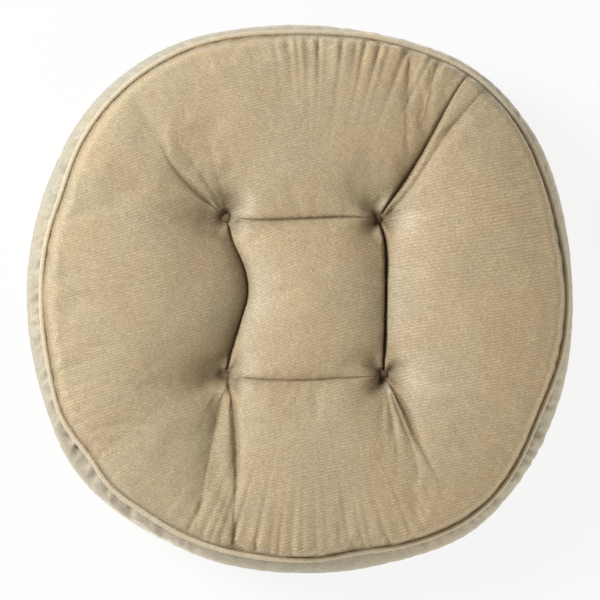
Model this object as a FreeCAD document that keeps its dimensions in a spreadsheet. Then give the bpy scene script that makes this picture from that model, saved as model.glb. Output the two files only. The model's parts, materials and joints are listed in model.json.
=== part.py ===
"""Tufted, boxed and piped chair seat pad.

The pad lies on the XY plane with its underside at Z = 0 and its centre on the Z axis.
Its outline is a soft square of eight tangent arcs. Fabric panels close the top and the
bottom, a fabric band (the boxing) joins them, and a piped welt runs round both seams.
Four twine loops, each between a top and a bottom button, pull the pad into dimples.
"""
import FreeCAD, Part
import math
import os
import Sketcher

DIMENSIONS = {
    # plan outline, measured at the seams along the middle of the piping
    "seam_half_width": 194.0,
    "corner_centre": 44.0,
    "corner_radius": 140.5,
    # heights
    "lower_seam": 18.0,
    "upper_seam": 68.0,
    "crown": 90.0,
    # fabric
    "cloth": 1.2,
    "bulge": 9.6,
    "top_run": 80.0,
    "bottom_run": 52.0,
    "fullness": 3.5,
    # piping
    "welt_radius": 2.2,
    "cord_radius": 1.5,
    "flange_half": 0.35,
    "flange_reach": 10.0,
    "seam_inset": 3.4,
    # tufts
    "tuft_half_width": 57.0,
    "tuft_half_depth": 58.0,
    "tuft_lean": 1.7,
    "top_tuft": 61.0,
    "bottom_tuft": 16.0,
    "dimple_floor": 4.4,
    "dimple_flare": 40.0,
    "top_crease": 15.0,
    "bottom_crease": 9.0,
    "passage_radius": 2.6,
    "shank_hole": 1.9,
    # buttons
    "button_radius": 3.75,
    "button_rise": 3.2,
    "button_wall": 1.3,
    "cap_cloth": 0.6,
    "tuck_reach": 1.6,
    "shell_gauge": 0.4,
    "back_radius": 2.7,
    "back_gauge": 0.4,
    "eye_radius": 1.3,
    "eye_wire": 0.35,
    "eye_drop": 0.9,
    "twine_radius": 0.45,
    "twine_bend": 1.3,
    "play": 0.1,
}

# How far along a panel's rounded edge each section of its dome lies.
DOME_STEPS = (0.0, 0.08, 0.2, 0.4, 0.7, 1.0)
# Heights of the boxing's sections, as a share of the way from its lower edge to its upper.
BOXING_STEPS = (0.0, 0.15, 0.5, 0.85, 1.0)
# The four tufts as (column, row): back left, back right, front left, front right.
TUFTS = ((-1, 1), (1, 1), (-1, -1), (1, -1))
# The creases run between these pairs of tufts.
CREASES = ((0, 1), (2, 3), (0, 2), (1, 3))
# How far a shank hole's cutter reaches above and below the fabric that it pierces.
PIERCE = 4.0
# The smallest number that still counts as more than nothing, in millimetres.
TINY = 1e-6

doc = FreeCAD.newDocument("SeatPad")
sheet = doc.addObject("Spreadsheet::Sheet", "Sizes")
for row, (name, number) in enumerate(DIMENSIONS.items(), start=1):
    sheet.set(f"A{row}", name)
    sheet.set(f"B{row}", str(number))
    sheet.setAlias(f"B{row}", name)
doc.recompute()


def size(name):
    """The sheet's cell of this name, as used in an expression."""
    return f"Sizes.{name}"


def value(expression):
    """The number that an expression gives now."""
    found = sheet.evalExpression(expression.replace("Sizes.", ""))
    return float(getattr(found, "Value", found))


def bind(owner, **expressions):
    """Bind properties of an object to expressions; a double underscore stands for a dot."""
    for path, expression in expressions.items():
        owner.setExpression(path.replace("__", "."), expression)


# --- sketches -------------------------------------------------------------------------

SIDE_RADIUS = (
    "(Sizes.corner_radius^2 - Sizes.corner_centre^2"
    " - (Sizes.corner_centre - Sizes.seam_half_width)^2)"
    " / (2 * (Sizes.corner_centre - Sizes.seam_half_width + Sizes.corner_radius))"
)


def draw_soft_square(sketch, inset):
    """Eight tangent arcs: a corner and a side by turns, moved inwards by `inset`."""
    corner_at = value(size("corner_centre"))
    corner_radius = value(f"{size('corner_radius')} - ({inset})")
    side_radius = value(f"{SIDE_RADIUS} - ({inset})")
    side_at = value(f"{size('seam_half_width')} - ({SIDE_RADIUS})")
    join = math.atan2(corner_at, corner_at - side_at)
    up = FreeCAD.Vector(0, 0, 1)
    for quarter in range(4):
        turn = quarter * math.pi / 2
        side_centre = FreeCAD.Vector(side_at * math.cos(turn), side_at * math.sin(turn), 0)
        side = Part.Circle(side_centre, up, side_radius)
        sketch.addGeometry(Part.ArcOfCircle(side, turn - join, turn + join))
        diagonal = turn + math.pi / 4
        reach = corner_at * math.sqrt(2)
        corner_centre = FreeCAD.Vector(reach * math.cos(diagonal), reach * math.sin(diagonal), 0)
        corner = Part.Circle(corner_centre, up, corner_radius)
        sketch.addGeometry(Part.ArcOfCircle(corner, turn + join, turn + math.pi / 2 - join))
    rules = [
        Sketcher.Constraint("Tangent", arc, 2, (arc + 1) % 8, 1) for arc in range(8)
    ]
    rules += [Sketcher.Constraint("Equal", 0, side) for side in (2, 4, 6)]
    rules += [Sketcher.Constraint("Equal", 1, corner) for corner in (3, 5, 7)]
    rules += [
        Sketcher.Constraint("Symmetric", 1, 3, 3, 3, -2),
        Sketcher.Constraint("Symmetric", 1, 3, 7, 3, -1),
        Sketcher.Constraint("Symmetric", 3, 3, 5, 3, -1),
    ]
    sketch.addConstraint(rules)
    dimension(sketch, "side_radius", f"{SIDE_RADIUS} - ({inset})", "Radius", 0)
    dimension(sketch, "corner_radius", f"{size('corner_radius')} - ({inset})", "Radius", 1)
    dimension(sketch, "corner_x", size("corner_centre"), "DistanceX", -1, 1, 1, 3)
    dimension(sketch, "corner_y", size("corner_centre"), "DistanceY", -1, 1, 1, 3)


def dimension(sketch, name, expression, kind, *geometry):
    """Add one dimension to a sketch and bind it to an expression."""
    index = sketch.addConstraint(Sketcher.Constraint(kind, *geometry, value(expression)))
    sketch.renameConstraint(index, name)
    sketch.setExpression(f"Constraints.{name}", expression)


def place_point(sketch, name, geometry, end, across, along):
    """Hold one end of a sketch's edge at two coordinates, each an expression."""
    for kind, axis, expression in (("DistanceX", -2, across), ("DistanceY", -1, along)):
        number = value(expression)
        if abs(number) < TINY:
            sketch.addConstraint(Sketcher.Constraint("PointOnObject", geometry, end, axis))
        elif number > 0:
            dimension(sketch, f"{name}_{kind[-1]}", expression, kind, -1, 1, geometry, end)
        else:
            dimension(sketch, f"{name}_{kind[-1]}", f"-({expression})", kind, geometry, end, -1, 1)


def draw_outline(sketch, corners, arcs=None):
    """A closed outline through `corners`, pairs of expressions.

    `arcs` gives the edges that are arcs: edge number to (radius, way, share), where the
    arc bows out to the right of its direction when way is 1 and to the left when it is -1,
    and share is "short" or "long", for the part of the circle that it is. A half circle
    is held by the height of its centre, as a radius alone leaves it loose.
    """
    arcs = arcs or {}
    points = [FreeCAD.Vector(value(x), value(y), 0) for x, y in corners]
    first = sketch.GeometryCount
    count = len(points)
    for edge, start in enumerate(points):
        end = points[(edge + 1) % count]
        if edge not in arcs:
            sketch.addGeometry(Part.LineSegment(start, end))
            continue
        radius, way, share = arcs[edge]
        chord = end - start
        from_centre = math.sqrt(max(value(radius) ** 2 - (chord.Length / 2) ** 2, 0))
        bow = value(radius) + (from_centre if share == "long" else -from_centre)
        side = FreeCAD.Vector(chord.y, -chord.x, 0).normalize() * way * bow
        sketch.addGeometry(Part.Arc(start, (start + end) / 2 + side, end))
    for edge, (across, along) in enumerate(corners):
        here = first + edge
        start, _ = edge_ends(sketch, here, points[edge])
        before = first + (edge - 1) % count
        _, end = edge_ends(sketch, before, points[edge - 1])
        sketch.addConstraint(Sketcher.Constraint("Coincident", before, end, here, start))
        place_point(sketch, f"p{here}", here, start, across, along)
    for edge, (radius, _, _) in arcs.items():
        here = first + edge
        chord = points[(edge + 1) % count] - points[edge]
        if chord.Length < 2 * value(radius) - TINY:
            dimension(sketch, f"r{here}", radius, "Radius", here)
        elif points[edge].y > 0:
            dimension(sketch, f"c{here}", corners[edge][1], "DistanceY", -1, 1, here, 3)
        else:
            dimension(sketch, f"c{here}", f"-({corners[edge][1]})", "DistanceY", here, 3, -1, 1)


def edge_ends(sketch, geometry, start):
    """The Sketcher numbers of an edge's start and end: an arc may be stored turned round."""
    if sketch.getPoint(geometry, 1).distanceToPoint(start) < TINY:
        return 1, 2
    return 2, 1


def plane_of(body, role):
    """One of a body's own origin planes."""
    return next(feature for feature in body.Origin.OriginFeatures if feature.Role == role)


def body_sketch(body, name, role):
    """A sketch on one of a body's origin planes."""
    sketch = body.newObject("Sketcher::SketchObject", name)
    sketch.AttachmentSupport = [(plane_of(body, role), "")]
    sketch.MapMode = "FlatFace"
    return sketch


def draw_circle(sketch, centre, radius):
    """A circle whose centre lies on one of the sketch's axes or off it, both bound."""
    middle = FreeCAD.Vector(value(centre[0]), value(centre[1]), 0)
    ring = sketch.addGeometry(Part.Circle(middle, FreeCAD.Vector(0, 0, 1), value(radius)))
    place_point(sketch, f"centre{ring}", ring, 3, *centre)
    dimension(sketch, f"radius{ring}", radius, "Radius", ring)


def round_section(body, name, radius):
    """A round section across the piping, where its path crosses the body's X axis."""
    sketch = body_sketch(body, f"{body.Name}_{name}_section", "XZ_Plane")
    draw_circle(sketch, ("Sizes.seam_half_width", "0"), radius)
    return sketch


def sweep(body, kind, name, profile, path):
    """Add or take away a section swept along the whole of a path sketch."""
    doc.recompute()
    pipe = body.newObject(f"PartDesign::{kind}", f"{body.Name}_{name}")
    pipe.Profile = profile
    pipe.Spine = (path, [f"Edge{number + 1}" for number in range(path.GeometryCount)])
    return pipe


# --- building blocks of the soft shapes -------------------------------------------------

def section(name, inset, height):
    """The soft square at one height, moved inwards by `inset`."""
    sketch = doc.addObject("Sketcher::SketchObject", name)
    draw_soft_square(sketch, inset)
    bind(sketch, Placement__Base__z=height)
    return sketch


def loft(name, sections):
    """A smooth solid through soft squares, given as (inset, height) expressions."""
    solid = doc.addObject("Part::Loft", name)
    solid.Sections = [
        section(f"{name}_{number}", inset, height)
        for number, (inset, height) in enumerate(sections)
    ]
    solid.Solid = True
    solid.Ruled = False
    return solid


def prism(name, inset, bottom, top):
    """A straight-sided soft square from one height to another."""
    solid = doc.addObject("Part::Extrusion", name)
    solid.Base = section(f"{name}_outline", inset, bottom)
    solid.DirMode = "Custom"
    solid.Dir = FreeCAD.Vector(0, 0, 1)
    solid.Solid = True
    bind(solid, LengthFwd=f"({top}) - ({bottom})")
    return solid


def dome_sections(seam, way, rise, run, cloth):
    """Sections of a panel's dome from its seam to its flat middle.

    way is 1 for the top and -1 for the bottom. cloth is how deep under the outer face of
    the fabric the dome lies: 0 for its outer face.
    """
    base = f"{seam} + ({way}) * Sizes.flange_half"
    height = f"({rise}) - Sizes.flange_half"
    sections = []
    for step in DOME_STEPS:
        slope = f"({height}) * Sizes.fullness * {1 - step}^(Sizes.fullness - 1) / ({run})"
        inset = f"Sizes.seam_inset + ({run}) * {step}"
        level = f"({height}) * (1 - {1 - step}^Sizes.fullness)"
        if step == 0:
            inset += f" + ({cloth}) / sin(atan({slope}))"
        else:
            inset += f" + ({cloth}) * sin(atan({slope}))"
            level += f" - ({cloth}) * cos(atan({slope}))"
        sections.append((inset, f"{base} + ({way}) * ({level})"))
    return sections


def boxing_sections(cloth):
    """Sections of the boxing, an arc that bows out between the seams."""
    low = "(Sizes.lower_seam + Sizes.flange_half)"
    high = "(Sizes.upper_seam - Sizes.flange_half)"
    sections = []
    for step in BOXING_STEPS:
        bow = f"(Sizes.bulge + Sizes.seam_inset) * {4 * step * (1 - step)}"
        inset = f"Sizes.seam_inset + ({cloth}) - {bow}"
        sections.append((inset, f"{low} + ({high} - {low}) * {step}"))
    return sections


def tuft_at(tuft):
    """Where a tuft is, as X and Y expressions. The right-hand column leans a little."""
    column, row = TUFTS[tuft]
    across = f"({column}) * Sizes.tuft_half_width"
    if column > 0:
        across += f" - ({row}) * Sizes.tuft_lean"
    return across, f"({row}) * Sizes.tuft_half_depth"


def dimple(name, tuft, floor, way, cloth):
    """The cone cut out of the pad over one tuft, grown by `cloth` for the fabric's inside."""
    cone = doc.addObject("Part::Cone", name)
    reach = "(Sizes.crown - Sizes.top_tuft + Sizes.top_crease)"
    spread = f"({cloth}) * tan(45 - Sizes.dimple_flare / 2)"
    narrow = f"Sizes.dimple_floor + {spread}"
    across, along = tuft_at(tuft)
    bind(
        cone,
        Radius1=f"({narrow}) * 1 mm",
        Radius2=f"(({narrow}) + {reach} * tan(Sizes.dimple_flare)) * 1 mm",
        Height=f"{reach} * 1 mm",
        Placement=f"placement(vector({across}; {along}; {floor} - ({way}) * ({cloth}));"
        f" rotation(vector(1; 0; 0); {0 if way > 0 else 180}))",
    )
    return cone


def crease(name, ends, edge, way, cloth):
    """The straight-sided valley between two tufts, its lowest line at height `edge`."""
    block = doc.addObject("Part::Box", name)
    (ax, ay), (bx, by) = (tuft_at(tuft) for tuft in ends)
    turn = f"atan2(({by}) - ({ay}); ({bx}) - ({ax}))"
    tilt = 45 if way > 0 else 225
    bind(
        block,
        Length=f"sqrt((({bx}) - ({ax}))^2 + (({by}) - ({ay}))^2) * 1 mm",
        Width="2 * Sizes.top_crease * 1 mm",
        Height="2 * Sizes.top_crease * 1 mm",
        Placement=f"placement(vector({ax}; {ay}; {edge} - ({way}) * ({cloth}) * sqrt(2));"
        f" rotation(vector(0; 0; 1); {turn}) * rotation(vector(1; 0; 0); {tilt}))",
    )
    return block


def tuft_cutters(side, cloth):
    """Everything that the tufts of one side take out of the pad, in one shape."""
    way = 1 if side == "top" else -1
    floor = size(f"{side}_tuft")
    face = "Sizes.crown" if side == "top" else "0"
    edge = f"{face} - ({way}) * Sizes.{side}_crease"
    depth = "outer" if cloth == "0" else "inner"
    cutters = doc.addObject("Part::MultiFuse", f"{side}_{depth}_tufting")
    cutters.Shapes = [
        dimple(f"{side}_{depth}_dimple_{tuft + 1}", tuft, floor, way, cloth)
        for tuft in range(len(TUFTS))
    ] + [
        crease(f"{side}_{depth}_crease_{number + 1}", ends, edge, way, cloth)
        for number, ends in enumerate(CREASES)
    ]
    return cutters


def cut(name, base, tool):
    """One solid with another taken out."""
    result = doc.addObject("Part::Cut", name)
    result.Base = base
    result.Tool = tool
    return result


def fuse(name, shapes):
    """Several solids joined."""
    result = doc.addObject("Part::MultiFuse", name)
    result.Shapes = shapes
    result.Refine = True
    return result


def cylinders(name, radius, bottom, top):
    """One upright cylinder at each tuft, in one shape."""
    group = doc.addObject("Part::MultiFuse", name)
    members = []
    for tuft in range(len(TUFTS)):
        across, along = tuft_at(tuft)
        rod = doc.addObject("Part::Cylinder", f"{name}_{tuft + 1}")
        bind(
            rod,
            Radius=f"({radius}) * 1 mm",
            Height=f"(({top}) - ({bottom})) * 1 mm",
            Placement=f"placement(vector({across}; {along}; {bottom}); rotation(vector(0; 0; 1); 0))",
        )
        members.append(rod)
    group.Shapes = members
    return group


# --- the sub-parts ------------------------------------------------------------------------

SIDES = {
    # side: (way, seam, rise of the dome, run of its rounded edge)
    "top": (1, "Sizes.upper_seam", "Sizes.crown - Sizes.upper_seam", "Sizes.top_run"),
    "bottom": (-1, "Sizes.lower_seam", "Sizes.lower_seam", "Sizes.bottom_run"),
}
parts = []


def keep(label, feature):
    """Name a finished sub-part."""
    feature.Label = label
    parts.append(feature)


def make_panel(side):
    """A fabric panel: a dome with its dimples and creases, one cloth thick."""
    way, seam, rise, run = SIDES[side]
    middle = "(Sizes.lower_seam + Sizes.upper_seam) / 2"
    # The inner solid is the deeper and wider one, so that only the domes and the
    # tufting leave fabric between the two.
    base = f"{seam} + ({way}) * Sizes.flange_half"
    layers = {}
    for depth, cloth, inset, stop in (
        ("outer", "0", "Sizes.flange_reach", f"{middle} + ({way}) * Sizes.cloth"),
        ("inner", "Sizes.cloth", "Sizes.flange_reach - Sizes.cloth", middle),
    ):
        dome = loft(f"{side}_{depth}_dome", dome_sections(seam, way, rise, run, cloth))
        low, high = (stop, base) if way > 0 else (base, stop)
        core = prism(f"{side}_{depth}_core", inset, low, high)
        solid = fuse(f"{side}_{depth}_solid", [dome, core])
        layers[depth] = cut(f"{side}_{depth}_shape", solid, tuft_cutters(side, cloth))
    skin = cut(f"{side}_skin", layers["outer"], layers["inner"])
    floor = size(f"{side}_tuft")
    low, high = f"{floor} - {PIERCE}", f"{floor} + {PIERCE}"
    holes = cylinders(f"{side}_shank_holes", "Sizes.shank_hole", low, high)
    keep(f"{side}_panel", cut(f"{side}_panel_cut", skin, holes))


def make_boxing():
    """The fabric band between the two seams."""
    outer = loft("boxing_outer", boxing_sections("0"))
    inner = loft("boxing_inner", boxing_sections("Sizes.cloth"))
    keep("boxing_band", cut("boxing_cut", outer, inner))


def make_fill():
    """The stuffing: everything inside the fabric but the twine's four passages."""
    pieces = [loft("fill_boxing", boxing_sections("Sizes.cloth"))]
    for side, (way, seam, rise, run) in SIDES.items():
        pieces.append(loft(f"fill_{side}", dome_sections(seam, way, rise, run, "Sizes.cloth")))
    pieces.append(prism(
        "fill_core",
        "Sizes.flange_reach",
        "Sizes.lower_seam - 2 * Sizes.flange_half",
        "Sizes.upper_seam + 2 * Sizes.flange_half",
    ))
    cutters = fuse("fill_cutters", [
        doc.getObject("top_inner_tufting"),
        doc.getObject("bottom_inner_tufting"),
        cylinders("passages", "Sizes.passage_radius", "Sizes.bottom_tuft", "Sizes.top_tuft"),
    ])
    keep("fibre_fill", cut("fill_cut", fuse("fill_solid", pieces), cutters))


def make_welt(side):
    """The piping of one seam: a cord, and the strip of fabric wrapped round it."""
    cover = doc.addObject("PartDesign::Body", f"{side}_welt_cover")
    cord = doc.addObject("PartDesign::Body", f"{side}_welt_cord")
    for body in (cover, cord):
        bind(body, Placement__Base__z=SIDES[side][1])
        path = body_sketch(body, f"{body.Name}_path", "XY_Plane")
        draw_soft_square(path, "0")
        if body is cord:
            core = round_section(body, "core", "Sizes.cord_radius")
            sweep(body, "AdditivePipe", "core", core, path)
        else:
            wrap = body_sketch(body, f"{body.Name}_wrap_section", "XZ_Plane")
            half, tail = "Sizes.flange_half", "Sizes.seam_half_width - Sizes.flange_reach"
            neck = f"Sizes.seam_half_width - sqrt(Sizes.welt_radius^2 - {half}^2)"
            draw_outline(
                wrap,
                [(neck, half), (tail, half), (tail, f"-{half}"), (neck, f"-{half}")],
                {3: ("Sizes.welt_radius", 1, "long")},
            )
            sweep(body, "AdditivePipe", "wrap", wrap, path)
            bore = round_section(body, "bore", "Sizes.cord_radius")
            sweep(body, "SubtractivePipe", "bore", bore, path)
        keep(body.Name, body)


def revolved(body, name, corners, arcs=None):
    """Turn a closed half-section round the body's Z axis."""
    sketch = body_sketch(body, name, "XZ_Plane")
    draw_outline(sketch, corners, arcs)
    turn = body.newObject("PartDesign::Revolution", f"{name}_turn")
    turn.Profile = sketch
    turn.ReferenceAxis = (sketch, ["V_Axis"])
    turn.Angle = 360
    return turn


# A button's crown is a ball segment from the top of its wall to its middle.
CROWN_RADIUS = (
    "((Sizes.button_radius^2 + (Sizes.button_rise - Sizes.button_wall)^2)"
    " / (2 * (Sizes.button_rise - Sizes.button_wall)))"
)


def crown_edge(depth):
    """Corner where the crown meets the wall, at `depth` under the button's outer face."""
    reach = f"Sizes.button_radius - ({depth})"
    height = (
        f"Sizes.button_rise - {CROWN_RADIUS}"
        f" + sqrt(({CROWN_RADIUS} - ({depth}))^2 - ({reach})^2)"
    )
    return reach, height


def cap_section(outside, inside, foot, lip):
    """A cap's half-section: crown, wall, and a lip turned in underneath to radius `lip`."""
    outer, inner = crown_edge(outside), crown_edge(inside)
    return [
        ("0", f"Sizes.button_rise - ({outside})"),
        ("0", f"Sizes.button_rise - ({inside})"),
        inner,
        (inner[0], f"({foot}) + ({inside}) - ({outside})"),
        (lip, f"({foot}) + ({inside}) - ({outside})"),
        (lip, foot),
        (outer[0], foot),
        outer,
    ]


def make_button_cover(body):
    """Fabric cap, tucked in under the shell."""
    corners = cap_section("0", "Sizes.cap_cloth", "0", "Sizes.button_radius - Sizes.tuck_reach")
    arcs = {
        1: (f"{CROWN_RADIUS} - Sizes.cap_cloth", -1, "short"),
        7: (CROWN_RADIUS, 1, "short"),
    }
    revolved(body, f"{body.Name}_section", corners, arcs)


def make_button_shell(body):
    """Metal dome inside the cap."""
    inside = "Sizes.cap_cloth + Sizes.shell_gauge"
    outer, inner = crown_edge("Sizes.cap_cloth"), crown_edge(inside)
    corners = [
        ("0", "Sizes.button_rise - Sizes.cap_cloth"),
        ("0", f"Sizes.button_rise - ({inside})"),
        inner,
        (inner[0], "Sizes.cap_cloth"),
        (outer[0], "Sizes.cap_cloth"),
        outer,
    ]
    arcs = {
        1: (f"{CROWN_RADIUS} - ({inside})", -1, "short"),
        5: (f"{CROWN_RADIUS} - Sizes.cap_cloth", 1, "short"),
    }
    revolved(body, f"{body.Name}_section", corners, arcs)


def make_button_back(body):
    """Metal plate pressed into the shell, with a wire eye under it for the twine."""
    top = "Sizes.cap_cloth + Sizes.back_gauge"
    revolved(body, f"{body.Name}_plate", [
        ("0", "Sizes.cap_cloth"),
        ("Sizes.back_radius", "Sizes.cap_cloth"),
        ("Sizes.back_radius", top),
        ("0", top),
    ])
    path = body_sketch(body, f"{body.Name}_eye_path", "XZ_Plane")
    draw_circle(path, ("0", "-Sizes.eye_drop"), "Sizes.eye_radius")
    wire = body_sketch(body, f"{body.Name}_eye_wire", "XY_Plane")
    bind(wire, AttachmentOffset__Base__z="-Sizes.eye_drop")
    draw_circle(wire, ("Sizes.eye_radius", "0"), "Sizes.eye_wire")
    sweep(body, "AdditivePipe", "eye", wire, path)


BUTTON_PIECES = {
    "cover": make_button_cover,
    "shell": make_button_shell,
    "back": make_button_back,
}


def make_buttons(side):
    """Four covered buttons; those underneath are turned over."""
    over = 0 if side == "top" else 180
    for tuft in range(len(TUFTS)):
        across, along = tuft_at(tuft)
        for piece, build in BUTTON_PIECES.items():
            label = f"{side}_button_{tuft + 1}_{piece}"
            body = doc.addObject("PartDesign::Body", label)
            build(body)
            body.setExpression(
                "Placement",
                f"placement(vector({across}; {along}; Sizes.{side}_tuft);"
                f" rotation(vector(1; 0; 0); {over}))",
            )
            keep(label, body)


def make_twine(tuft):
    """A closed loop of twine through the eyes of a top and a bottom button."""
    body = doc.addObject("PartDesign::Body", f"tufting_twine_{tuft + 1}")
    hook = "(Sizes.eye_drop + Sizes.eye_radius - Sizes.eye_wire - Sizes.twine_radius)"
    half = f"((Sizes.top_tuft - Sizes.bottom_tuft) / 2 - {hook} - Sizes.twine_bend + Sizes.play)"
    bend = "Sizes.twine_bend"
    path = body_sketch(body, f"{body.Name}_path", "YZ_Plane")
    draw_outline(
        path,
        [(bend, f"-{half}"), (bend, half), (f"-{bend}", half), (f"-{bend}", f"-{half}")],
        {1: (bend, 1, "short"), 3: (bend, 1, "short")},
    )
    strand = body_sketch(body, f"{body.Name}_strand", "XY_Plane")
    draw_circle(strand, ("0", bend), "Sizes.twine_radius")
    sweep(body, "AdditivePipe", "loop", strand, path)
    across, along = tuft_at(tuft)
    body.setExpression(
        "Placement",
        f"placement(vector({across}; {along}; (Sizes.top_tuft + Sizes.bottom_tuft) / 2);"
        " rotation(vector(0; 0; 1); 0))",
    )
    keep(body.Name, body)


def check_and_write():
    """Stop on any failed object, then write each sub-part to its own STEP file."""
    doc.recompute()
    failed = [item.Name for item in doc.Objects if {"Invalid", "Error"} & set(item.State)]
    if failed:
        raise SystemExit(f"failed: {failed}")
    os.makedirs("parts", exist_ok=True)
    for part in parts:
        shape = part.Shape
        if shape.isNull() or not shape.isValid():
            raise SystemExit(f"{part.Label} has no valid shape")
        shape.exportStep(f"parts/{part.Label}.step")
        box = shape.optimalBoundingBox()
        print(
            f"{part.Label:24s} solids {len(shape.Solids)} volume {shape.Volume:12.1f}"
            f"  x {box.XMin:8.2f} {box.XMax:8.2f}  y {box.YMin:8.2f} {box.YMax:8.2f}"
            f"  z {box.ZMin:7.2f} {box.ZMax:7.2f}"
        )


for side in SIDES:
    make_panel(side)
make_boxing()
make_fill()
for side in SIDES:
    make_welt(side)
    make_buttons(side)
for tuft in range(len(TUFTS)):
    make_twine(tuft)
check_and_write()
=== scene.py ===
"""Looks of the tufted seat pad: gathered velvet over a full fibre fill.

Shapes are worked out in millimetres in the frame of the CAD model and turned into metres
when a mesh is made. The fabric panels start as flat patterns cut round the piping's line,
are raised into lobes between the tufts and blown up by a short cloth simulation.
"""
import json
import math

import bmesh
import bpy
import numpy as np
from mathutils import Matrix, Vector
from mathutils.bvhtree import BVHTree
from mathutils.geometry import delaunay_2d_cdt

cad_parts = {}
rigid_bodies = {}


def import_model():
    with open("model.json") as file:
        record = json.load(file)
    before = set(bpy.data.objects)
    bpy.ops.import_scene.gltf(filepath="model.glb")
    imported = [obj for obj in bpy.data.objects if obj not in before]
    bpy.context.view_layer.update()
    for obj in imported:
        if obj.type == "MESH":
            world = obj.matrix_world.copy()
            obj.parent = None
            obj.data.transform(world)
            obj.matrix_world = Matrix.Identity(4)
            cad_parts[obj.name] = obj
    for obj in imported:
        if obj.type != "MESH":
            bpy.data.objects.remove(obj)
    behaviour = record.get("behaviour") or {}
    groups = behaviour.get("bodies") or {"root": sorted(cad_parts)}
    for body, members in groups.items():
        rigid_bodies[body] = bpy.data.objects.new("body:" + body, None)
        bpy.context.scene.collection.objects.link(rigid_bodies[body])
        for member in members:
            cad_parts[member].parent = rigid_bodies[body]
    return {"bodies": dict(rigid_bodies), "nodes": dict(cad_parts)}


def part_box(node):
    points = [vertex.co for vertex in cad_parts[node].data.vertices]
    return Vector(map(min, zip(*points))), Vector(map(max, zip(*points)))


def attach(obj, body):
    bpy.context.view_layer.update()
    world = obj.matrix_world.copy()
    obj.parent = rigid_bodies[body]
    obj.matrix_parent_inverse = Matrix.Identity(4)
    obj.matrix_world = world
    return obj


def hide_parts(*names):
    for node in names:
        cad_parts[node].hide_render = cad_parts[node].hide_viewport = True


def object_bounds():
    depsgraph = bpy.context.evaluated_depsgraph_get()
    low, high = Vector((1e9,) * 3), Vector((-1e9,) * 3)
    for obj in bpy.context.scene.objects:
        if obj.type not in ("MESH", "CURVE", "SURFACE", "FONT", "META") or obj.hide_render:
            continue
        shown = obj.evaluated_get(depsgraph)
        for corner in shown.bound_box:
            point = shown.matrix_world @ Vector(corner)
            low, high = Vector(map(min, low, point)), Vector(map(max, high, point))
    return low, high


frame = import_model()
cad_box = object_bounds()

MM = 0.001
NEGLIGIBLE = 1e-9
# Fabric is worked on in a scene of its own, where nothing else slows the simulation down.
workbench = bpy.data.scenes.new("workbench")
BODY = "root" if "root" in frame["bodies"] else next(iter(frame["bodies"]))

# --- sizes, in millimetres ---


def box_mm(node):
    """Lowest and highest corners of a CAD node, in millimetres."""
    low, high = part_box(node)
    return np.array(low) / MM, np.array(high) / MM


def middle_mm(node):
    """Centre of a CAD node's box, in millimetres."""
    low, high = box_mm(node)
    return (low + high) / 2


# The soft square's corner arcs, as in the CAD model; its sides come from the cord's box.
CORNER_CENTRE = 44.0
CORNER_RADIUS = 140.5
CORD_RADIUS = 1.5
WELT_RADIUS = 2.2
SEAM_HALF_WIDTH = box_mm("top_welt_cord")[1][0] - CORD_RADIUS
UPPER_SEAM = middle_mm("top_welt_cord")[2]
LOWER_SEAM = middle_mm("bottom_welt_cord")[2]
CROWN = box_mm("top_panel")[1][2]
BULGE = box_mm("boxing_band")[1][0] - SEAM_HALF_WIDTH
TUFTS = {
    side: [middle_mm(f"{side}_button_{number}_cover") for number in (1, 2, 3, 4)]
    for side in ("top", "bottom")
}

# --- outlines ---


def all_round(count):
    """Evenly spaced angles round a full turn."""
    return np.arange(count) * 2 * math.pi / count


def circle(angle):
    """Points of the unit circle at these angles."""
    return np.column_stack([np.cos(angle), np.sin(angle)])


def polar(points):
    """Distance of each point from the origin, and its angle."""
    return np.hypot(points[:, 0], points[:, 1]), np.arctan2(points[:, 1], points[:, 0])


def soft_square(angle):
    """Radius at a polar angle of the eight-arc outline."""
    corner, centre, half = CORNER_RADIUS, CORNER_CENTRE, SEAM_HALF_WIDTH
    side = (corner**2 - centre**2 - (centre - half) ** 2) / (2 * (centre - half + corner))
    side_at = half - side
    join = math.atan2(centre, centre - side_at)
    turn = np.abs((angle + math.pi / 4) % (math.pi / 2) - math.pi / 4)
    reach = side_at * np.cos(turn)
    on_side = reach + np.sqrt(reach**2 - side_at**2 + side**2)
    diagonal = centre * math.sqrt(2)
    reach = diagonal * np.cos(turn - math.pi / 4)
    on_corner = reach + np.sqrt(reach**2 - diagonal**2 + corner**2)
    past_join = np.arctan2(on_side * np.sin(turn), on_side * np.cos(turn) - side_at) > join
    return np.where(past_join, on_corner, on_side)


def bumps(angle, table):
    """Sum of smooth bumps, each (degrees, half width in degrees, millimetres)."""
    degrees = np.degrees(angle)
    total = np.zeros_like(degrees)
    for at, width, amount in table:
        away = (degrees - at + 180) % 360 - 180
        total = total + amount * np.exp(-((away / width) ** 2))
    return total


# Hand sewing leaves the piping out of true: where, how wide, how far out.
WELT_DRIFT = (
    (56, 16, 4.0), (76, 9, 1.2), (113, 13, 3.4), (145, 9, -1.2), (158, 8, -2.6), (205, 6, 1.8),
    (217, 6, -3.8), (233, 9, -3.6), (281, 7, -2.6), (304, 10, 1.4), (331, 13, -5.2), (18, 12, -1.2),
)
# The boxing's own drift, at its fullest line.
BOXING_DRIFT = (
    (30, 16, 3.2), (56, 16, 4.0), (90, 14, 1.0), (115, 13, 2.8), (150, 14, -1.2),
    (200, 14, -1.2), (234, 13, -3.4), (282, 14, 1.0), (304, 13, 3.9), (340, 14, 1.6),
)
# The top seam sits a little off the middle of the boxing.
SEAM_SHIFT = {"top": np.array([2.0, 1.1]), "bottom": np.array([-1.0, -0.6])}
DRIFT_SHARE = {"top": 1.0, "bottom": 0.6}


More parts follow.
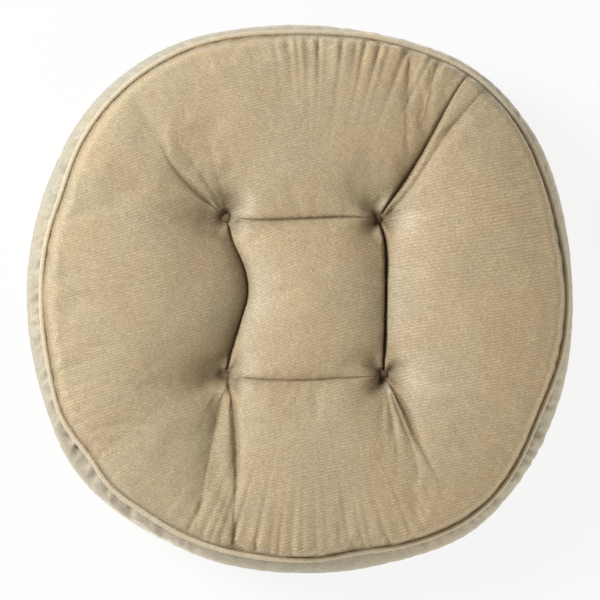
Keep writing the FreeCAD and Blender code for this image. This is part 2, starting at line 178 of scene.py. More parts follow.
def seam_radius(side, angle):
    """Radius of one seam at a polar angle round its own middle."""
    return soft_square(angle) + DRIFT_SHARE[side] * bumps(angle, WELT_DRIFT)


def seam_line(side, angle):
    """Points of one seam, along the middle of its piping."""
    return seam_radius(side, angle)[:, None] * circle(angle) + SEAM_SHIFT[side]


def seam_gap(side, flat):
    """How far inside the seam each point lies, and its polar angle."""
    out, angle = polar(flat - SEAM_SHIFT[side])
    return np.maximum(seam_radius(side, angle) - out, 0), angle


# --- folds ---

FAR = 1e6
# How far from a fold its effects reach: at the least, and in valley and dark widths.
NEAREST = 10.0
VALLEY_WIDTHS = 2.5
DARK_WIDTHS = 9.0
# Shade is painted over a close and a wide band: how many dark widths, how dark.
DARK_BANDS = ((1.0, 0.5), (4.5, 0.2))
# A sharp line this deep gets the full painted shade.
DARK_FROM_LINE = 3.0


class Fold:
    """A crease or pleat along a smooth line.

    floor is how far its bottom lies above the seam, and grip how firmly the fabric is held
    down to it, from 0 to 1. fine and line are the depth and width of the sharp line in its
    bottom. dip is the depth of a soft valley beside the line, whose widths to the left and
    right of the line's direction are left and right. dark gives the widths, left and right,
    over which shade is painted beside the line. start and end say how much of all this
    there is at the line's two ends.
    """

    def __init__(self, points, floor=0.0, grip=0.0, fine=0.0, line=1.6, dip=0.0,
                 left=6.0, right=6.0, dark=(1.5, 1.5), start=1.0, end=0.0):
        self.path = smooth_line(np.array(points, dtype=float))
        self.floor, self.grip = floor, grip
        self.fine, self.line = fine, line
        self.dip, self.left, self.right = dip, left, right
        self.dark = dark
        self.start, self.end = start, end

    def near(self, points):
        """For each point: distance to the line, its side, and how much of the fold is there."""
        distance = np.full(len(points), FAR)
        side = np.ones(len(points))
        share = np.zeros(len(points))
        reach = max(NEAREST, DARK_WIDTHS * max(self.dark))
        if self.dip:
            reach = max(reach, VALLEY_WIDTHS * max(self.left, self.right))
        low, high = self.path.min(axis=0) - reach, self.path.max(axis=0) + reach
        close = np.flatnonzero(((points > low) & (points < high)).all(axis=1))
        runs = np.diff(self.path, axis=0)
        lengths = np.linalg.norm(runs, axis=1)
        passed = 0.0
        for start, run, length in zip(self.path[:-1], runs, lengths):
            off = points[close] - start
            way = run / length
            along = np.clip(off @ way, 0, length)
            gap = np.hypot(*(off - along[:, None] * way).T)
            nearer = gap < distance[close]
            chosen = close[nearer]
            distance[chosen] = gap[nearer]
            side[chosen] = np.sign(way[0] * off[nearer, 1] - way[1] * off[nearer, 0])
            share[chosen] = (passed + along[nearer]) / lengths.sum()
            passed += length
        return distance, side, self.start + (self.end - self.start) * smooth_step(share)

    def depths(self, points):
        """At each point: depths of the sharp line and of the soft valley, and the painted shade."""
        distance, side, strength = self.near(points)
        width = np.where(side > 0, self.left, self.right)
        groove = self.fine * strength**0.7 * np.exp(-((distance / self.line) ** 1.5))
        valley = self.dip * strength * np.exp(-((distance / width) ** 2))
        spread = np.where(side > 0, *self.dark)
        shade = sum(
            dark * np.exp(-((distance / (widths * spread)) ** 2)) for widths, dark in DARK_BANDS
        )
        return groove, valley, min(1, self.fine / DARK_FROM_LINE) * strength * shade


def smooth_step(share):
    """0 to 1 with level ends."""
    share = np.clip(share, 0, 1)
    return share * share * (3 - 2 * share)


def smooth_line(points, step=2.0):
    """A Catmull-Rom curve through the points, as points about `step` apart."""
    ends = np.vstack([2 * points[0] - points[1], points, 2 * points[-1] - points[-2]])
    found = []
    for before, start, end, after in zip(ends[:-3], ends[1:-2], ends[2:-1], ends[3:]):
        count = max(2, int(np.linalg.norm(end - start) / step))
        share = np.arange(count)[:, None] / count
        found.append(0.5 * (
            2 * start
            + (end - before) * share
            + (2 * before - 5 * start + 4 * end - after) * share**2
            + (3 * start - before - 3 * end + after) * share**3
        ))
    found.append(points[-1:])
    return np.vstack(found)


def top_folds():
    """The creases between the tufts, and the pleats that run out from them."""
    back_left, back_right, front_left, front_right = (tuft[:2] for tuft in TUFTS["top"])
    between = [
        # the left lobe hangs over the middle pad, so its crease swings inwards
        Fold(
            [back_left, (-54, 46), (-50, 34), (-45, 23), (-42, 10), (-42, -1), (-46, -15),
             (-50, -28), (-54, -42), front_left],
            floor=-1.0, grip=1.0, fine=4, line=1.0, dark=(0.4, 9.0), end=1.0,
        ),
        Fold(
            [back_right, (59.5, 45), (61, 29), (60.5, 9), (60, -17), (59.5, -39), front_right],
            floor=2.0, grip=1.0, fine=8, line=1.2, dark=(1.5, 3.0), end=1.0,
        ),
        Fold([back_left, (-33, 55.5), (-3, 56.5), (26, 58), back_right],
             floor=8.0, grip=0.5, fine=2.4, line=0.9, dark=(0.9, 0.9), end=1.0),
        Fold([front_left, (-31, -61.5), (-3, -62), (26, -60.5), front_right],
             floor=9.5, grip=0.5, fine=1.8, line=0.9, dark=(0.9, 0.9), end=1.0),
    ]
    outwards = [
        # back left
        Fold([back_left, (-73, 71), (-88, 84), (-99, 97), (-106, 110), (-112, 120)],
             floor=4, grip=0.5, fine=3.5, dip=2.6, left=10, right=3.5),
        Fold([back_left, (-66, 74), (-78, 90), (-90, 106), (-100, 120)],
             fine=0.8, dip=0.9, left=4, right=4),
        Fold([back_left, (-60, 76), (-66, 92), (-71, 106)], fine=0.5, dip=0.7, left=4, right=4),
        Fold([back_left, (-95, 60), (-135, 66), (-172, 78)], dip=3.8, left=14, right=16),
        # back right: the long pleat and its neighbour run right up to the seam
        Fold(
            [back_right, (63, 70), (74, 86), (85, 104), (95, 122), (104, 139), (113, 154),
             (123, 167)],
            floor=4, grip=0.7, fine=5.5, line=1.1, dip=1.8, left=9, right=3.5, end=0.2,
        ),
        Fold([(64, 63), (70, 69), (81, 84), (92, 101), (104, 119), (117, 135), (131, 151)],
             fine=1.2, line=1.4, dip=3.0, left=3.5, right=6, start=0.6, end=0.4),
        Fold([(74, 108), (74, 130), (75, 152), (77, 174), (78, 189)],
             fine=0.8, dip=2.0, left=4, right=6, start=0.1, end=1.0),
        Fold([(85, 124), (90, 141), (94, 160), (100, 178)],
             fine=0.8, dip=2.2, left=5, right=4, start=0.2, end=0.9),
        Fold([back_right, (95, 66), (130, 74), (165, 84)], dip=2.2, left=13, right=13),
        # front left
        Fold(
            [front_left, (-53.5, -76), (-50.5, -105), (-50, -134), (-52, -166), (-53, -191)],
            floor=4, grip=0.2, fine=2.0, dip=2.4, left=3.5, right=5, end=0.3,
        ),
        Fold([front_left, (-62, -84), (-68, -110), (-74, -140), (-80, -172)],
             floor=3, grip=0.6, fine=0.8, dip=3.0, left=8, right=9, end=0.25),
        Fold([front_left, (-67, -77), (-76, -95), (-84, -108)], fine=0.4, dip=1.8, left=6, right=5),
        Fold([front_left, (-92, -68), (-126, -82), (-152, -100)], dip=3.6, left=14, right=14),
        Fold([front_right, (92, -66), (125, -78), (152, -96)], dip=2.0, left=13, right=13),
        # front right
        Fold(
            [front_right, (67, -71), (76, -88), (84, -109), (95, -131), (102, -146)],
            floor=4, grip=0.6, fine=3.0, dip=2.4, left=3.5, right=9,
        ),
        Fold([front_right, (69, -84), (76, -105), (83, -127), (87, -142)],
             fine=1.2, dip=2.2, left=5, right=4),
        Fold([front_right, (63, -83), (66, -112), (67, -149)], fine=0.8, dip=2.0, left=4, right=5),
        Fold([front_right, (57, -84), (55, -110), (53, -140)], fine=0.3, dip=1.2, left=6, right=6),
    ]
    return between + outwards


# The underside's creases join two tufts each, and sag to one side between them.
BOTTOM_CREASES = ((0, 1, (2, -1.5)), (2, 3, (-3, 1)), (0, 2, (2.5, 3)), (1, 3, (-2, -4)))
# Its pleats fan out from each tuft, round these directions in degrees.
BOTTOM_PLEAT_TURNS = (131, 52, 228, 313)
# Each pleat of a fan: degrees off that direction, length, depth.
BOTTOM_PLEATS = ((-38, 62, 1.6), (-7, 96, 3.0), (24, 70, 2.0))
BOTTOM_FLOOR = 9.0


def bottom_folds():
    """Creases of the underside, drawn less deeply."""
    corners = [tuft[:2] for tuft in TUFTS["bottom"]]
    folds = [
        Fold([corners[a], (corners[a] + corners[b]) / 2 + sag, corners[b]],
             floor=BOTTOM_FLOOR, grip=0.5, fine=2.0, end=1.0)
        for a, b, sag in BOTTOM_CREASES
    ]
    for tuft, turn in zip(corners, BOTTOM_PLEAT_TURNS):
        for lean, length, dip in BOTTOM_PLEATS:
            ways = circle(np.radians([turn + lean, turn + lean * 0.5]))
            half = tuft + length * 0.5 * ways[0]
            end = half + length * 0.5 * ways[1]
            folds.append(
                Fold([tuft, half, end], floor=BOTTOM_FLOOR, grip=dip / 10, fine=dip * 0.4, dip=dip)
            )
    return folds


# --- unevenness ---

LUMP_WAVES = 12


def ripple(angle, length, seed):
    """An uneven ripple round the pad, from -1 to 1, about `length` from crest to crest."""
    draw = np.random.default_rng(seed)
    around = np.zeros_like(angle)
    waves = math.tau * SEAM_HALF_WIDTH / length
    drift = sum(
        draw.uniform(0.25, 0.6) * np.sin(turns * angle + draw.uniform(0, 2 * math.pi))
        for turns in (3, 7, 13, 23)
    )
    for share, weight in ((1.0, 0.6), (0.62, 0.4), (1.53, 0.3)):
        phase = draw.uniform(0, 2 * math.pi)
        around = around + weight * np.sin(round(waves * share) * angle + 2.2 * drift + phase)
    return np.clip(around, -1, 1)


def lumps(points, shortest, longest, seed):
    """An uneven surface: waves of every direction, each between two lengths, summed."""
    draw = np.random.default_rng(seed)
    total = np.zeros(len(points))
    for _ in range(LUMP_WAVES):
        length = draw.uniform(shortest, longest)
        turn, phase = draw.uniform(0, 2 * math.pi, 2)
        along = points[:, 0] * math.cos(turn) + points[:, 1] * math.sin(turn)
        total += np.sin(2 * math.pi * along / length + phase)
    return total / math.sqrt(LUMP_WAVES)


# --- meshes ---


def new_mesh(name, points, faces):
    """A smooth mesh object made from points in millimetres, on the workbench."""
    mesh = bpy.data.meshes.new(name)
    mesh.from_pydata((np.asarray(points) * MM).tolist(), [], faces)
    mesh.polygons.foreach_set("use_smooth", np.ones(len(mesh.polygons), dtype=bool))
    piece = bpy.data.objects.new(name, mesh)
    workbench.collection.objects.link(piece)
    return piece


def show(piece, material):
    """Move a finished piece from the workbench to the pad."""
    workbench.collection.objects.unlink(piece)
    bpy.context.scene.collection.objects.link(piece)
    piece.data.materials.append(material)
    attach(piece, BODY)


def new_piece(name, points, faces, material):
    """A piece that is finished as soon as it is made."""
    piece = new_mesh(name, points, faces)
    show(piece, material)
    return piece


def read(items, name, width=3, kind=float):
    """One value of each of a mesh's items, as rows of `width` numbers."""
    found = np.empty(len(items) * width, dtype=kind)
    items.foreach_get(name, found)
    return found.reshape(-1, width)


def positions(piece):
    """A piece's points in millimetres."""
    return read(piece.data.vertices, "co") / MM


def move_to(piece, points):
    """Put a piece's points at these places, in millimetres."""
    piece.data.vertices.foreach_set("co", (np.asarray(points) * MM).ravel())
    piece.data.update()


def normals(piece):
    """Unit normals at a piece's points."""
    return read(piece.data.vertex_normals, "vector")


def keep_flat(piece, flat):
    """Remember where each point lies on the flat pattern, in millimetres."""
    layer = piece.data.attributes.new("flat", "FLOAT_VECTOR", "POINT")
    layer.data.foreach_set("vector", np.column_stack([flat, np.zeros(len(flat))]).ravel())


def keep_share(piece, name, share):
    """Remember a share for each point, from 0 to 1.

    One share gives how much shade is painted on a point, deep in a fold, round a tuft or under
    the piping, and another how much highlight is painted on it, where it slopes up towards the
    light. "height" is where it lies on the boxing.
    """
    layer = piece.data.attributes.new(name, "FLOAT", "POINT")
    layer.data.foreach_set("value", np.clip(share, 0, 1))


def flat_of(piece):
    """Where each point lies on the flat pattern, in millimetres."""
    return read(piece.data.attributes["flat"].data, "vector")[:, :2]


def corners_of(piece):
    """The number of the point at each corner of each face."""
    return read(piece.data.loops, "vertex_index", 1, int)[:, 0]


def lay_weave(piece, threads):
    """Lay the weave: a coordinate pair per corner of a face, in millimetres, as a UV map."""
    layer = piece.data.uv_layers.new(name="weave")
    layer.data.foreach_set("uv", (threads * MM).ravel())


def ring_faces(rows, columns, first=0):
    """Faces that join closed rings of points, each to the next, from the point `first`."""
    faces = []
    for row in range(rows):
        low = first + row * columns
        for step in range(columns):
            after = (step + 1) % columns
            faces.append((low + step, low + after, low + columns + after, low + columns + step))
    return faces


def disc_faces(rings, columns):
    """Faces of a disc whose points are its centre, then its rings from the inside out."""
    fan = [(0, 1 + step, 1 + (step + 1) % columns) for step in range(columns)]
    return fan + [face[::-1] for face in ring_faces(rings - 1, columns, first=1)]


def workbench_graph():
    """The workbench's pieces with their modifiers worked out."""
    layer = workbench.view_layers[0]
    layer.update()
    return layer.depsgraph


def apply_modifier(piece, modifier):
    """Make a modifier's result the piece's own mesh."""
    graph = workbench_graph()
    result = bpy.data.meshes.new_from_object(
        piece.evaluated_get(graph), preserve_all_data_layers=True, depsgraph=graph
    )
    piece.modifiers.remove(modifier)
    old = piece.data
    piece.data = result
    result.name = old.name
    bpy.data.meshes.remove(old)


def pair_triangles(piece):
    """Turn pairs of triangles into four-sided faces, which subdivide more evenly."""
    made = bmesh.new()
    made.from_mesh(piece.data)
    bmesh.ops.join_triangles(
        made, faces=made.faces, angle_face_threshold=1.2, angle_shape_threshold=1.2
    )
    made.to_mesh(piece.data)
    made.free()


def subdivide(piece):
    """One level of smooth subdivision."""
    modifier = piece.modifiers.new("smooth", "SUBSURF")
    modifier.levels = modifier.render_levels = 1
    modifier.boundary_smooth = "PRESERVE_CORNERS"
    apply_modifier(piece, modifier)


# A firm woven fabric: how it stretches, bends and settles in the simulation.
CLOTH = {
    "quality": 6, "mass": 0.25, "air_damping": 4,
    "tension_stiffness": 25, "compression_stiffness": 25,
    "shear_stiffness": 12, "bending_stiffness": 0.15,
    "tension_damping": 12, "compression_damping": 12, "shear_damping": 12,
}
CLOTH_FRAMES = 18


def puff(piece, pins, pressure, slack, cap):
    """Blow the fabric up with Blender's cloth simulation.

    pins holds each point's share of being held still, slack how much longer the threads
    are than the shape they start in, and cap how far a point may move, in millimetres.
    """
    before = positions(piece)
    group = piece.vertex_groups.new(name="held")
    pins = np.round(pins, 1)
    for level in np.unique(pins[pins > 0]):
        group.add(np.flatnonzero(pins == level).tolist(), float(level), "REPLACE")
    modifier = piece.modifiers.new("cloth", "CLOTH")
    cloth = modifier.settings
    for name, setting in CLOTH.items():
        setattr(cloth, name, setting)
    cloth.vertex_group_mass = "held"
    cloth.use_pressure = True
    cloth.uniform_pressure_force = pressure
    cloth.shrink_min = -slack
    cloth.effector_weights.gravity = 0
    modifier.collision_settings.use_collision = False
    modifier.point_cache.frame_start = 1
    modifier.point_cache.frame_end = CLOTH_FRAMES
    for number in range(1, CLOTH_FRAMES + 1):
        workbench.frame_set(number)
    result = piece.evaluated_get(workbench_graph())
    move = read(result.to_mesh().vertices, "co") / MM - before
    result.to_mesh_clear()
    piece.modifiers.remove(modifier)
    workbench.frame_set(1)
    reach = np.linalg.norm(move, axis=1, keepdims=True)
    move_to(piece, before + move * np.minimum(1, cap / np.maximum(reach, NEGLIGIBLE)))


# --- panels ---

# Rows of points this far to each side of a fold's line.
FOLD_ROWS = (0.0, 1.2, -1.2, 2.8, -2.8)
# Rings of points round a tuft: radius, count.
TUFT_RINGS = ((1.4, 6), (2.8, 12), (4.2, 16), (5.8, 20), (7.6, 24))
# Other points keep this far, and half their own spacing, from a fold, and from a tuft.
FOLD_CLEARANCE = 2.5
TUFT_CLEARANCE = TUFT_RINGS[-1][0]
# Points nearer to the seam than this share of their spacing are left out.
SEAM_CLEARANCE = 0.45
# Points nearer together than this are joined.
JOIN_WITHIN = 0.35


def lattice(reach, spacing):
    """A square grid of points, row after row, and the number of points along its side."""
    ticks = np.arange(-reach, reach, spacing)
    return np.column_stack([grid.ravel() for grid in np.meshgrid(ticks, ticks)]), len(ticks)


def pattern(side, spacing, folds):
    """A flat fabric panel cut to the seam, with rows of points along its folds."""
    step = 2 * math.pi / round(2 * math.pi * SEAM_HALF_WIDTH / spacing)
    ring = seam_line(side, np.arange(0, 2 * math.pi - step / 2, step))
    rows = [ring]
    others, _ = lattice(SEAM_HALF_WIDTH + 25, spacing)
    clear = np.ones(len(others), dtype=bool)
    for fold in folds:
        if fold.fine:
            way = np.gradient(fold.path, axis=0)
            way /= np.linalg.norm(way, axis=1, keepdims=True)
            across = np.column_stack([-way[:, 1], way[:, 0]])
            rows += [fold.path + across * off for off in FOLD_ROWS]
            clear &= fold.near(others)[0] > FOLD_CLEARANCE + spacing * 0.5
    for tuft in TUFTS[side]:
        for radius, count in TUFT_RINGS:
            rows.append(tuft[:2] + radius * circle(all_round(count)))
        clear &= polar(others - tuft[:2])[0] > TUFT_CLEARANCE + spacing * 0.5
    points = np.vstack([*rows, others[clear]])
    inside = seam_gap(side, points)[0] > spacing * SEAM_CLEARANCE
    inside[: len(ring)] = True
    corners = [Vector(point) for point in points[inside].tolist()]
    outline = [list(range(len(ring)))]
    found, _, faces, *_ = delaunay_2d_cdt(corners, [], outline, 1, JOIN_WITHIN, False)
    return np.array([tuple(point) for point in found]), faces


DOME = {
    # side: height of the seam, rise over it, run of the rounded edge, and which way it rises
    "top": (UPPER_SEAM, CROWN - UPPER_SEAM, 85.0, 1),
    "bottom": (LOWER_SEAM, LOWER_SEAM, 60.0, -1),
}
# The fabric rolls up quickly beside the piping, and climbs the rest of the way gently.
ROLL_RUN = 9.0
ROLL_SHARE = 0.55
# The fabric starts this far inside the seam, at the piping's inner side.
PIPING_INNER = 2.3
# The cell of the grid that the panel is relaxed on, the rounds that this takes, and how much
# each round overshoots, which settles it sooner.
GRID = 1.6
GRID_REACH = SEAM_HALF_WIDTH + 24
ROUNDS = 500
OVERSHOOT = 1.8
# How firmly a fold of full grip is held down, and how far its pull reaches into the lobes.
HOLD = 10.0
PULL_REACH = 30.0
# A button holds its seat flat and draws a wider funnel in, down to a little below its middle.
BUTTON_HOLD = 4 * HOLD
BUTTON_SEAT = 3.6
BUTTON_SINK = 1.0
FUNNEL = 0.5
FUNNEL_REACH = 9.0


def relax(target, hold, fixed):
    """Depth of a stretched sheet on the grid, drawn down to its targets.

    hold is how strongly each cell is drawn to its target, and fixed cells stay at zero.
    Away from its targets the sheet rises back to zero within the pull's reach.
    """
    level = np.zeros_like(target)
    rows, columns = np.indices(level.shape)
    rest = 4 + hold + (GRID / PULL_REACH) ** 2
    for _ in range(ROUNDS):
        for parity in (0, 1):
            around = np.zeros_like(level)
            around[1:-1, 1:-1] = (
                level[:-2, 1:-1] + level[2:, 1:-1] + level[1:-1, :-2] + level[1:-1, 2:]
            )
            free = ((rows + columns) % 2 == parity) & ~fixed
            wanted = (around + hold * target) / rest
            level = np.where(free, level + OVERSHOOT * (wanted - level), level)
    return level


def blur(grid, reach):
    """A grid smoothed over `reach` cells each way, three times."""
    for _ in range(3):
        for axis in (0, 1):
            grid = sum(np.roll(grid, step, axis) for step in range(-reach, reach + 1))
            grid = grid / (2 * reach + 1)
    return grid


def inflate(side, folds):
    """A panel's rise over its seam, as a grid: a dome, drawn down at its folds and tufts."""
    seam, rise, run, way = DOME[side]
    spots, size = lattice(GRID_REACH, GRID)
    gap, _ = seam_gap(side, spots)
    roll = 1 - (1 - np.clip((gap - PIPING_INNER) / ROLL_RUN, 0, 1)) ** 2
    climb = 1 - (1 - np.clip((gap - PIPING_INNER) / run, 0, 1)) ** 2.2
    dome = rise * (ROLL_SHARE * roll + (1 - ROLL_SHARE) * climb)
    hold, pull = np.zeros(len(spots)), np.zeros(len(spots))
    for fold in folds:
        if fold.grip:
            distance, _, strength = fold.near(spots)
            grip = HOLD * fold.grip * strength**2 * np.exp(-((distance / GRID) ** 2))
            hold, pull = hold + grip, pull + grip * strength * (dome - fold.floor)
    for tuft in TUFTS[side]:
        out, _ = polar(spots - tuft[:2])
        seat = way * (tuft[2] - seam) - BUTTON_SINK
        grip = BUTTON_HOLD * np.exp(-((out / BUTTON_SEAT) ** 4))
        grip = grip + FUNNEL * np.exp(-((out / FUNNEL_REACH) ** 2))
        hold, pull = hold + grip, pull + grip * (dome - seat)
    target = pull / np.maximum(hold, NEGLIGIBLE)
    fixed = gap < PIPING_INNER
    depth = relax(*(values.reshape(size, size) for values in (target, hold, fixed)))
    return dome.reshape(size, size) - depth


# Shade is painted darkest where a panel lies this far below its surroundings, within this
# many cells, and round the tufts, a little to their left. Nearer to the seam than the gap,
# none of this shade is painted.
HOLLOW_FULL = 6.0
HOLLOW_REACH = 3
HOLLOW_GAP = 25.0
TUFT_DARK = 10.5
TUFT_DARKNESS = 0.9
TUFT_SHADE = np.array([-2.5, 0.0])
# The rise to the right, in mm per mm, where a painted highlight starts on slopes that face
# the light, and how much more makes it full.
PAINTED_HIGHLIGHT_FROM = 0.12
PAINTED_HIGHLIGHT_OVER = 0.6


def pile_shares(side, risen):
    """Painted shade in a panel's hollows and round its tufts, and painted highlight where it rises
    to the right, towards the light, as grids.
    """
    spots, size = lattice(GRID_REACH, GRID)
    gap = seam_gap(side, spots)[0].reshape(size, size)
    painted_shade = np.clip((blur(risen, HOLLOW_REACH) - risen) / HOLLOW_FULL, 0, 1)
    for tuft in TUFTS[side]:
        out = polar(spots - tuft[:2] - TUFT_SHADE)[0].reshape(size, size)
        painted_shade = np.maximum(painted_shade, TUFT_DARKNESS * np.exp(-((out / TUFT_DARK) ** 2.5)))
    # Painted highlight where the panel rises to the right, facing the light from the left.
    lean = np.gradient(blur(risen, 1), GRID, axis=1)
    painted_highlight = smooth_step((lean - PAINTED_HIGHLIGHT_FROM) / PAINTED_HIGHLIGHT_OVER)
    painted_highlight = painted_highlight * smooth_step((gap - ROLL_RUN) / ROLL_RUN)
    return np.where(gap > HOLLOW_GAP, painted_shade, 0), painted_highlight


def sample(grid, spots):
    """Value of a grid at each spot, between its nearest four cells."""
    place = np.clip((spots + GRID_REACH) / GRID, 0, len(grid) - 1.001)
    column, row = place.astype(int).T
    right, up = (place - place.astype(int)).T
    lower = grid[row, column] * (1 - right) + grid[row, column + 1] * right
    upper = grid[row + 1, column] * (1 - right) + grid[row + 1, column + 1] * right
    return lower * (1 - up) + upper * up


# Points this near to a button's seat, and this near to a fold's line, are held still, the
# latter as far as this many times the fold's grip says.
TUFT_HELD = 1.5
FOLD_HELD = 0.6
GRIP_HELD = 1.5


def held_still(side, flat, folds):
    """Each point's share of being held still while its panel is blown up."""
    gap, _ = seam_gap(side, flat)
    held = np.where(gap < PIPING_INNER, 1.0, 0.0)
    for tuft in TUFTS[side]:
        held[polar(flat - tuft[:2])[0] < BUTTON_SEAT + TUFT_HELD] = 1
    for fold in folds:
        distance, _, strength = fold.near(flat)
        grip = min(1, GRIP_HELD * fold.grip) * strength
        held = np.maximum(held, np.where(distance < FOLD_HELD, grip, 0))
    return held


PRESSURE = {"top": 3.0, "bottom": 1.5}
# Painted shade where a panel is tucked in under the piping: how dark, and over how far.
TUCK_DARKNESS = 0.4
TUCK_REACH = PIPING_INNER + 2.5


def make_panel(side, spacing, folds, material):
    """A panel of gathered velvet, from flat pattern to finished folds."""
    flat, faces = pattern(side, spacing, folds)
    seam, _, _, way = DOME[side]
    if way < 0:
        faces = [face[::-1] for face in faces]
    risen = inflate(side, folds)
    points = np.column_stack([flat, seam + way * sample(risen, flat)])
    piece = new_mesh(f"{side}_panel_fabric", points, faces)
    keep_flat(piece, flat)
    held = held_still(side, flat, folds)
    pair_triangles(piece)
    puff(piece, held, pressure=PRESSURE[side], slack=0.012, cap=2.2)
    subdivide(piece)
    dark = sharpen(piece, side, folds)
    flat = flat_of(piece)
    gap, _ = seam_gap(side, flat)
    # Painted shade under the piping, along the folds and in the hollows, and painted highlight on
    # slopes that face the light.
    tucked = TUCK_DARKNESS * np.exp(-((gap / TUCK_REACH) ** 3))
    painted_shade, painted_highlight = pile_shares(side, risen)
    keep_share(piece, "painted_shade", np.maximum(sample(painted_shade, flat), dark) + tucked)
    keep_share(piece, "painted_highlight", sample(painted_highlight, flat))
    lay_weave(piece, weave_on_panel(flat)[corners_of(piece)])
    show(piece, material)
    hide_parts(f"{side}_panel")
    return piece


# Where the panels are gathered into the seams: degrees, half width, height of the gathers.
TOP_GATHERS = ((72, 12, 1.5), (90, 8, 1.1), (252, 10, 1.5), (270, 10, 1.1), (288, 8, 1.2),
               (28, 14, 0.35), (205, 16, 0.4), (325, 14, 0.35), (0, 400, 0.15))
GATHER_LENGTH = 9.0
GATHER_SEED = {"top": 11, "bottom": 12}
# Gathers reach full height this far from the seam, and die away over their reach.
GATHER_START = 5.0
GATHER_REACH = 26.0
# A ring of puckers round each tuft: waves round it and their phase and share, then height,
# radius and width.
PUCKERS = ((7, 0.8, 0.6), (11, 2.1, 0.4))
PUCKER_HEIGHT = 0.3
PUCKER_RADIUS = 11.0
PUCKER_WIDTH = 6.0
# Lumps of the fill: shortest and longest wave, seed, height.
PANEL_LUMPS = ((24, 60, 41, 0.5), (9, 20, 42, 0.08))
# Near a tuft the fine lines and the valleys run out: from this radius, over this much more.
LINE_FADE = (2, 4)
VALLEY_FADE = (4, 12)
# By the piping all of this runs out over this much.
SEAM_FADE = 5.0


def sharpen(piece, side, folds):
    """Cut the fine lines of the folds and the gathers along the seam.

    Gives back how much shade is painted along the folds.
    """
    points = positions(piece)
    flat = flat_of(piece)
    facing = normals(piece)
    gap, angle = seam_gap(side, flat)
    sunk, valleys, dark = (np.zeros(len(flat)) for _ in range(3))
    for fold in folds:
        groove, valley, darkness = fold.depths(flat)
        sunk = np.maximum(sunk, groove)
        valleys = np.maximum(valleys, valley)
        dark = np.maximum(dark, darkness)
    size = bumps(angle, TOP_GATHERS)
    swell = smooth_step(gap / GATHER_START)
    swell = swell * np.exp(-np.maximum(gap - GATHER_START, 0) / GATHER_REACH)
    crest = ripple(angle, GATHER_LENGTH, GATHER_SEED[side])
    # The gathers are broad ridges with narrow valleys between them.
    lift = size * swell * (1 - 2 * ((1 - crest) / 2) ** 1.8)
    for tuft in TUFTS[side]:
        out, turn = polar(flat - tuft[:2])
        pucker = sum(np.sin(waves * turn + phase) * part for waves, phase, part in PUCKERS)
        ring = np.exp(-(((out - PUCKER_RADIUS) / PUCKER_WIDTH) ** 2))
        lift = lift + PUCKER_HEIGHT * pucker * ring
        sunk = sunk * smooth_step((out - LINE_FADE[0]) / LINE_FADE[1])
        valleys = valleys * smooth_step((out - VALLEY_FADE[0]) / VALLEY_FADE[1])
    for shortest, longest, seed, height in PANEL_LUMPS:
        lift = lift + height * lumps(flat, shortest, longest, seed)
    inside = smooth_step((gap - PIPING_INNER) / SEAM_FADE)
    moved = points + facing * ((lift - valleys) * inside)[:, None]
    moved[:, 2] -= DOME[side][3] * sunk * inside
    if side == "bottom":
        moved[:, 2] = np.maximum(moved[:, 2], 0)
    move_to(piece, moved)
    return dark


# The ribs' slope, how much it changes by either side, where it changes and over how far.
RIB_SLOPE = 0.25
RIB_SLOPE_CHANGE = 0.1
RIB_TURN_AT = 50.0
RIB_TURN_OVER = 80.0
# How far the long pleat draws them up, and how far back that is most.
RIB_DRAWN = 12.0
RIB_DRAWN_AT = 95.0


def weave_on_panel(flat):
    """Thread coordinates on a panel, whose ribs run across it.

    They climb to the right, less steeply towards the right-hand side, and are drawn up
    towards the long pleat at the back right.
    """
    across, along = flat[:, 0], flat[:, 1]
    turned = RIB_TURN_OVER * np.log(np.cosh((across - RIB_TURN_AT) / RIB_TURN_OVER))
    climb = RIB_SLOPE * across - RIB_SLOPE_CHANGE * turned
    drawn = RIB_DRAWN * smooth_step((across - 5) / 72)
    drawn = drawn * np.exp(-(((along - RIB_DRAWN_AT) / 60) ** 2))
    sway = 3 * np.sin(across / 37 + 0.6) * np.cos(along / 53)
    sway = sway + 1.5 * np.sin(along / 31 + across / 67)
    return np.column_stack([across + 0.1 * along, along - climb - drawn - sway])


# --- boxing ---

BOXING_COLUMNS = 560
BOXING_ROWS = 22
BOXING_HEIGHT = UPPER_SEAM - LOWER_SEAM
# The boxing's edges are tucked in under the piping.
BOXING_INSET = 1.4
# The cloth is a little longer than the gap between the seams.
BOXING_LOOSENESS = 1.15
# Its gathers at each seam, and its crumples: degrees, half width, height.
BOXING_GATHERS = ((325, 13, 3.2), (300, 12, 1.2), (215, 24, 1.1), (170, 26, 0.9), (130, 20, 0.7),
                  (60, 20, 0.7), (0, 400, 0.4))
BOXING_CRUMPLES = ((325, 16, 0.9), (215, 24, 1.1), (170, 26, 0.8), (0, 400, 0.3))
BOXING_GATHER_LENGTH = 10.5
# Gathers reach full height this far from their seam, and die away over their reach.
BOXING_GATHER_START = 3.5
BOXING_GATHER_REACH = 8.0
# How far a gather drifts round the pad, in radians, from one seam to the other.
GATHER_SLANT = 0.1
# The crumples: shortest and longest wave, how far they drift, and where they keep off.
CRUMPLE_LENGTHS = (11, 26)
CRUMPLE_SLANT = 14
CRUMPLE_EDGE = 5
CRUMPLE_MIDDLE = 9
# How dark the painted shade is at each edge, under the piping, over how far, and per millimetre of
# depth elsewhere.
BOXING_EDGE_DARKNESS = 0.6
BOXING_EDGE_REACH = 1.5
BOXING_DEPTH_DARKNESS = 0.2


